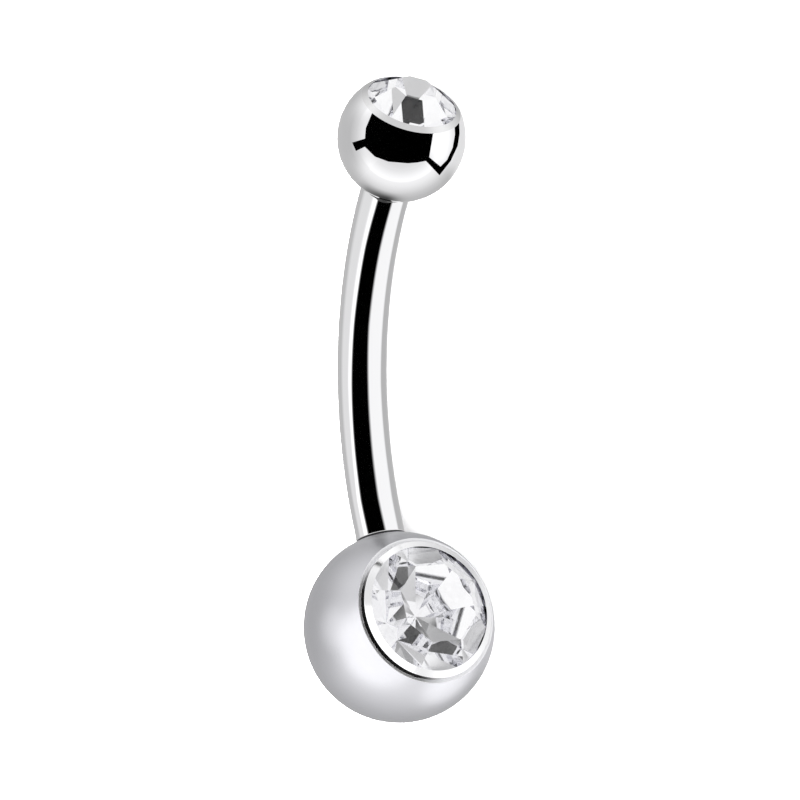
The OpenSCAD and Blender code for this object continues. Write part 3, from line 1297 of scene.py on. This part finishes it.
    def bounce(self) -> None:
        """Puts a bounce card close below the top ball, as bright as the tent behind it.

        It keeps the lower ball out of the top ball's polish. Its rows run round the
        ball's middle at one share of the radius n, and mirror the tent at 2 asin(n).
        Beside the bar at side b it darkens by 0.9 times t^2 (3 - 2 t), where t runs
        from 0 at n = 0.84 to 1 at n = 0.97, times exp(-((side - b) / width)^2),
        and over its first 12 degrees the darkening fades in.
        """
        share, side = np.linspace(*BOUNCE_SHARES), np.linspace(*BOUNCE_SPAN)
        circle = heading(side, 90.0)[:, :2]
        sketch = share[:, None, None] * circle
        points = self.thrown(sketch, self.bounce_reach)
        levels = np.interp(np.degrees(2 * np.arcsin(share)), *np.array(TENT_ROOF).T)
        start, full, darkening, fade_in = BAR_SHADE
        t = np.clip((share - start) / (full - start), 0, 1)
        middle, before, after = BAR_SIDE
        beside = np.exp(-(((side - middle) / np.where(side < middle, before, after)) ** 2))
        beside *= np.clip((side - side[0]) / fade_in, 0, 1)
        levels = levels[:, None] * (1 - darkening * (t * t * (3 - 2 * t))[:, None] * beside)
        self.hidden_card("bounce_card", points, self.top_centre, levels)

    def stone_dome(self, name: str, place: Frame3, reach: float, patches: tuple) -> None:
        """Hangs a dome that only light leaving a cut stone sees, with soft patches.

        A facet sends all that it shows off in one direction, so a patch there gives
        it its tone. The dome's level is 1.05 times, for each patch, 1 + (level - 1) /
        (1 + exp((angle from the patch's middle - its radius) / 0.7 degrees)).

        Args:
            name: The dome's name.
            place: The stone's place and directions.
            reach: The dome's radius in mm, too small to take in the other stone.
            patches: Azimuth, angle off the axis and radius in degrees, and level of each.
        """
        ways = heading(np.linspace(0, 360, 361)[None, :], np.linspace(0, 180, 181)[:, None])
        levels = np.full(ways.shape[:2], self.dome_level)
        for side, tilt, radius, level in patches:
            apart = np.degrees(np.arccos(np.clip(ways @ heading(side, tilt), -1, 1)))
            past = np.clip((apart - radius) / self.patch_blur, -40, 40)
            levels *= 1 + (level - 1) / (1 + np.exp(past))
        self.hidden_card(name, place.placed(reach * ways), place.origin, levels, refracted=True)

    def satin_lights(self, ball: bpy.types.Object) -> None:
        """Adds soft discs that light only the satin ball.

        A disc hangs where the view turned by an angle towards a side meets a sphere
        round the ball, and its power is level * pi * area.

        Args:
            ball: The satin ball.
        """
        receivers = bpy.data.collections.new("satin_ball_light")
        receivers.objects.link(ball)
        for k, (side, angle, size, level) in enumerate(SATIN_DISCS):
            way = heading(side, angle) @ self.axes()
            across = 2 * self.disc_reach * rise(size) * MM
            watts = level * math.pi * math.pi * (across / 2) ** 2
            place = (self.low_centre + self.disc_reach * way) * MM
            light = self.soft_light(f"satin_disc_{k}", "DISK", across, watts, place)
            light.rotation_euler = Vector(way.tolist()).to_track_quat("Z", "Y").to_euler()
            light.visible_diffuse = False
            light.light_linking.receiver_collection = receivers

    def tent(self) -> None:
        """Lights the scene with a soft tent, brightest in a ring round the view.

        With x, y and z the direction's parts along the view's right, up and
        towards the camera, a ramp runs over acos(z). The tent's left and right
        walls have ramps of their own, which fade in with x / sin(acos(z)).
        """
        world = bpy.data.worlds.new("studio")
        world.use_nodes = True
        tree = world.node_tree
        way = add_node(tree, "TexCoord").outputs["Generated"]

        def dot(axis: np.ndarray) -> bpy.types.NodeSocket:
            """The direction's part along an axis."""
            ends = {0: way, 1: axis.tolist()}
            return add_node(tree, "VectorMath", ends, operation="DOT_PRODUCT").outputs["Value"]

        def maths(operation: str, *values: object) -> bpy.types.NodeSocket:
            """A sum on sockets and numbers."""
            return add_node(tree, "Math", dict(enumerate(values)), operation=operation).outputs[0]

        right, _, toward = self.axes()
        x, z = dot(right), dot(toward)
        angle = maths("DIVIDE", maths("ARCCOSINE", z), math.pi)
        sine = maths("SQRT", maths("SUBTRACT", 1.0, maths("MULTIPLY", z, z)))
        aside = maths("DIVIDE", x, maths("MAXIMUM", sine, 0.001))
        colour = None
        for levels, reach in TENT:
            ramp = add_node(tree, "ValToRGB", {"Fac": angle})
            set_ramp(ramp, [(degrees / 180, level) for degrees, level in levels])
            if reach is None:
                colour = ramp.outputs["Color"]
                continue
            ends = {"Value": aside, "From Min": reach[0], "From Max": reach[1]}
            wall = add_node(tree, "MapRange", ends, interpolation_type="SMOOTHSTEP")
            ends = {0: wall.outputs["Result"], 6: colour, 7: ramp.outputs["Color"]}
            colour = add_node(tree, "Mix", ends, data_type="RGBA").outputs[2]
        background = tree.nodes["Background"]
        tree.links.new(colour, background.inputs["Color"])
        background.inputs["Strength"].default_value = 1.0
        bpy.context.scene.world = world


def glowing(name: str, attribute: str) -> bpy.types.Material:
    """Makes a card's material, as bright as an attribute says and clear from behind.

    Args:
        name: The material's name.
        attribute: The attribute's name.

    Returns:
        The material.
    """
    material = bpy.data.materials.new(name)
    material.use_nodes = True
    tree = material.node_tree
    tree.nodes.clear()
    level = add_node(tree, "Attribute", attribute_name=attribute).outputs["Fac"]
    glow = add_node(tree, "Emission", {"Strength": level}).outputs[0]
    clear = add_node(tree, "BsdfTransparent").outputs[0]
    behind = add_node(tree, "NewGeometry").outputs["Backfacing"]
    mix = add_node(tree, "MixShader", {0: behind, 1: glow, 2: clear})
    add_node(tree, "OutputMaterial", {"Surface": mix.outputs[0]})
    return material


def set_ramp(ramp: bpy.types.Node, stops: list[tuple]) -> None:
    """Gives a ramp its stops.

    Args:
        ramp: The ramp's node.
        stops: (place, level) pairs.
    """
    elements = ramp.color_ramp.elements
    while len(elements) < len(stops):
        elements.new(0.5)
    for element, (place, level) in zip(elements, stops):
        element.position = place
        element.color = (level, level, level, 1)


# The tent's levels at angles off the view in degrees, and where its walls fade in.
TENT_ROOF = (
    (0, 0.9), (53, 0.9), (60, 0.97), (74, 1.18), (81, 1.27), (85.5, 1.27), (88, 1.13),
    (97, 1.06), (106, 0.95), (123, 0.73), (140, 0.6), (180, 0.5),
)
TENT_LEFT = ((0, 0.9), (60, 1.0), (74, 1.0), (89, 0.78), (106, 0.61), (180, 0.6))
TENT_RIGHT = ((0, 0.95), (50, 1.1), (60, 1.3), (92, 1.3), (106, 1.05), (131, 0.92), (180, 0.85))
TENT = ((TENT_ROOF, None), (TENT_LEFT, (-0.72, -1.0)), (TENT_RIGHT, (0.78, 0.95)))
# The bounce card's rows and columns: the first, the last and how many.
BOUNCE_SHARES = (0.5, 0.985, 80)
BOUNCE_SPAN = (224, 312, 60)
# Where the bar darkens the bounce card: its side in degrees with the widths before and
# after it, and where it starts and is full, how dark it gets and where it fades in.
BAR_SIDE = (256, 26, 12)
BAR_SHADE = (0.84, 0.97, 0.9, 12)
# How finely the sheet round the bar and the flags are divided.
SHEET_ROWS = 121
BAND_STEPS = 40
FLAG_STEPS = 6
# The radii of the stones' domes in millimetres.
LOW_DOME = 9.0
TOP_DOME = 12.0
# Each disc's side, angle off the view and half width in degrees, and its level.
SATIN_DISCS = ((222, 28, 52, 0.85), (314, 99, 26, 0.75), (180, 85, 18, 0.45))
# Each patch's azimuth, angle off the stone's axis and radius in degrees, and its level.
LOW_STONE_PATCHES = (
    (150, 15.8, 5.3, 0.0),
    (-103.9, 15.9, 5, 0.04),
    (-116, 32.7, 5.4, 0.62),
    (156.4, 32.3, 4.6, 0.37),
    (-158.9, 55.8, 3.1, 0.0),
    (-156.3, 56.6, 4.3, 0.1),
    (128.4, 37, 4.4, 0.0),
    (108.6, 40.3, 4.6, 0.35),
    (114, 19.5, 6.7, 0.6),
    (133.6, 31.6, 2.4, 0.0),
    (124, 26, 3.5, 0.24),
    (-87, 31.8, 1.6, 0.24),
    (-161.4, 36.2, 2.2, 0.19),
    (20.8, 22.6, 2.1, 0.05),
    (-141, 72, 1.6, 2.01),
    (-152, 36.6, 2.6, 0.42),
    (91, 54.6, 3, 0.0),
    (-44.1, 54.2, 2.1, 0.04),
    (150.2, 49.3, 1.6, 0.43),
    (165.9, 25.3, 3, 0.28),
    (-150.4, 27.7, 1.4, 2.04),
    (-162.7, 27.7, 1.4, 2.04),
    (-164, 60.7, 2, 0.35),
)
TOP_STONE_PATCHES = (
    (153.1, 30.5, 8.4, 0.0),
    (150.5, 63, 3.9, 0.55),
    (60.8, 50.9, 5.2, 0.0),
    (175.3, 37.5, 4.4, 0.58),
    (87.1, 81.1, 2.5, 0.72),
)
# A share of the bar's bend, and the edges of the bands there, in shares of its half width.
BAR_BANDS = (
    (-0.06, -0.985, -0.82, -0.64, -0.47, 0.23, 0.74, 0.985),
    (0.05, -0.985, -0.82, -0.65, -0.496, 0.197, 0.74, 0.985),
    (0.12, -0.985, -0.82, -0.605, -0.475, 0.21, 0.763, 0.985),
    (0.25, -0.985, -0.82, -0.557, -0.451, 0.227, 0.758, 0.985),
    (0.4, -0.985, -0.82, -0.555, -0.422, 0.231, 0.74, 0.985),
    (0.58, -0.985, -0.82, -0.515, -0.373, 0.216, 0.762, 0.985),
    (0.7, -0.985, -0.82, -0.474, -0.318, 0.259, 0.772, 0.985),
    (0.83, -0.985, -0.82, -0.43, -0.276, 0.302, 0.788, 0.985),
    (0.955, -0.985, -0.82, -0.39, -0.2, 0.36, 0.79, 0.985),
    (1.02, -0.985, -0.82, -0.38, -0.18, 0.38, 0.79, 0.985),
)
# The sheet's levels, at places counted in edges from the first.
BAR_LEVELS = (
    (0.0, 0.59), (0.8, 0.61), (1.2, 0.91), (1.85, 0.91), (2.15, 1.4), (2.8, 1.4), (3.05, 0.0),
    (3.96, 0.0), (4.12, 1.15), (4.95, 1.17), (5.15, 0.57), (6.0, 0.57),
)
# Rows of points on the top ball as the camera sees it, in shares of its radius.
TOP_BALL_FLAGS = {
    "flag_front": (
        ((-0.45, 0.39), (-0.25, 0.30), (0.0, 0.2), (0.25, 0.14), (0.50, 0.13)),
        ((-0.55, 0.15), (-0.3, 0.05), (0.0, -0.03), (0.25, -0.06), (0.475, -0.03)),
        ((-0.572, -0.131), (-0.41, -0.29), (-0.2, -0.368), (0.1, -0.393), (0.43, -0.298)),
    ),
    "flag_corner": (
        ((0.1, -0.393), (0.43, -0.298)),
        ((0.24, -0.382), (0.43, -0.298)),
        ((0.379, -0.357), (0.43, -0.298)),
    ),
    "flag_arm": (
        ((-0.761, -0.073), (-0.55, -0.008)),
        ((-0.703, -0.204), (-0.55, -0.131)),
    ),
    "flag_side": (
        (
            (0.379, -0.357), (0.59, -0.58), (0.764, -0.357),
            (0.873, -0.124), (0.902, 0.065), (0.895, 0.24),
        ),
        (
            (0.43, -0.298), (0.604, -0.444), (0.706, -0.342),
            (0.793, -0.153), (0.829, 0.05), (0.822, 0.2),
        ),
    ),
}


def main() -> None:
    """Builds the ring and the studio."""
    logging.basicConfig(level=logging.INFO)
    sizes = RingSizes()
    low_cut = SimpleCut(
        4.2, turn=23.5, table_share=0.63, crown_angle=45, pavilion_angle=41.7, first_keel=1
    )
    top_cut = SimpleCut(
        3.0, turn=35.5, table_share=0.46, crown_angle=39, pavilion_angle=36.5, first_keel=0
    )
    low = Setting(sizes.low_ball_d / 2, low_cut, lip_w=0.21, slope=29, line_w=0.13)
    top = Setting(sizes.top_ball_d / 2, top_cut, lip_w=0.15, slope=38)
    turn, place = sizes.at_rest()
    low_joint, top_joint = (turn @ joint + place for joint in sizes.joints())
    # The point on the line round the larger lip where the painted shade is darkest.
    gap = turn @ sizes.beside_low_stone(low.foot(), low.outer(), DARKEST_SIDE) + place
    ring = Ring(sizes, Finishes.made(low_joint, top_joint, gap), low, top)
    ring.build()
    balls = (turn @ centre + place for centre in (sizes.low_centre(), sizes.top_centre()))
    studio = Studio(*balls, top.ball_r)
    studio.floor()
    studio.fill()
    studio.bar_sheet(sizes)
    studio.flags()
    studio.bounce()
    studio.stone_dome("lower_stone_dome", ring.stone_place(low), LOW_DOME, LOW_STONE_PATCHES)
    studio.stone_dome("top_stone_dome", ring.stone_place(top), TOP_DOME, TOP_STONE_PATCHES)
    studio.satin_lights(bpy.data.objects["lower_jewelled_ball"])
    studio.tent()
    studio.camera()
    scene = bpy.context.scene
    scene.view_settings.view_transform = "Standard"
    cycles = scene.cycles
    cycles.max_bounces = cycles.glossy_bounces = cycles.transmission_bounces = LIGHT_BOUNCES


if __name__ == "__main__":
    main()
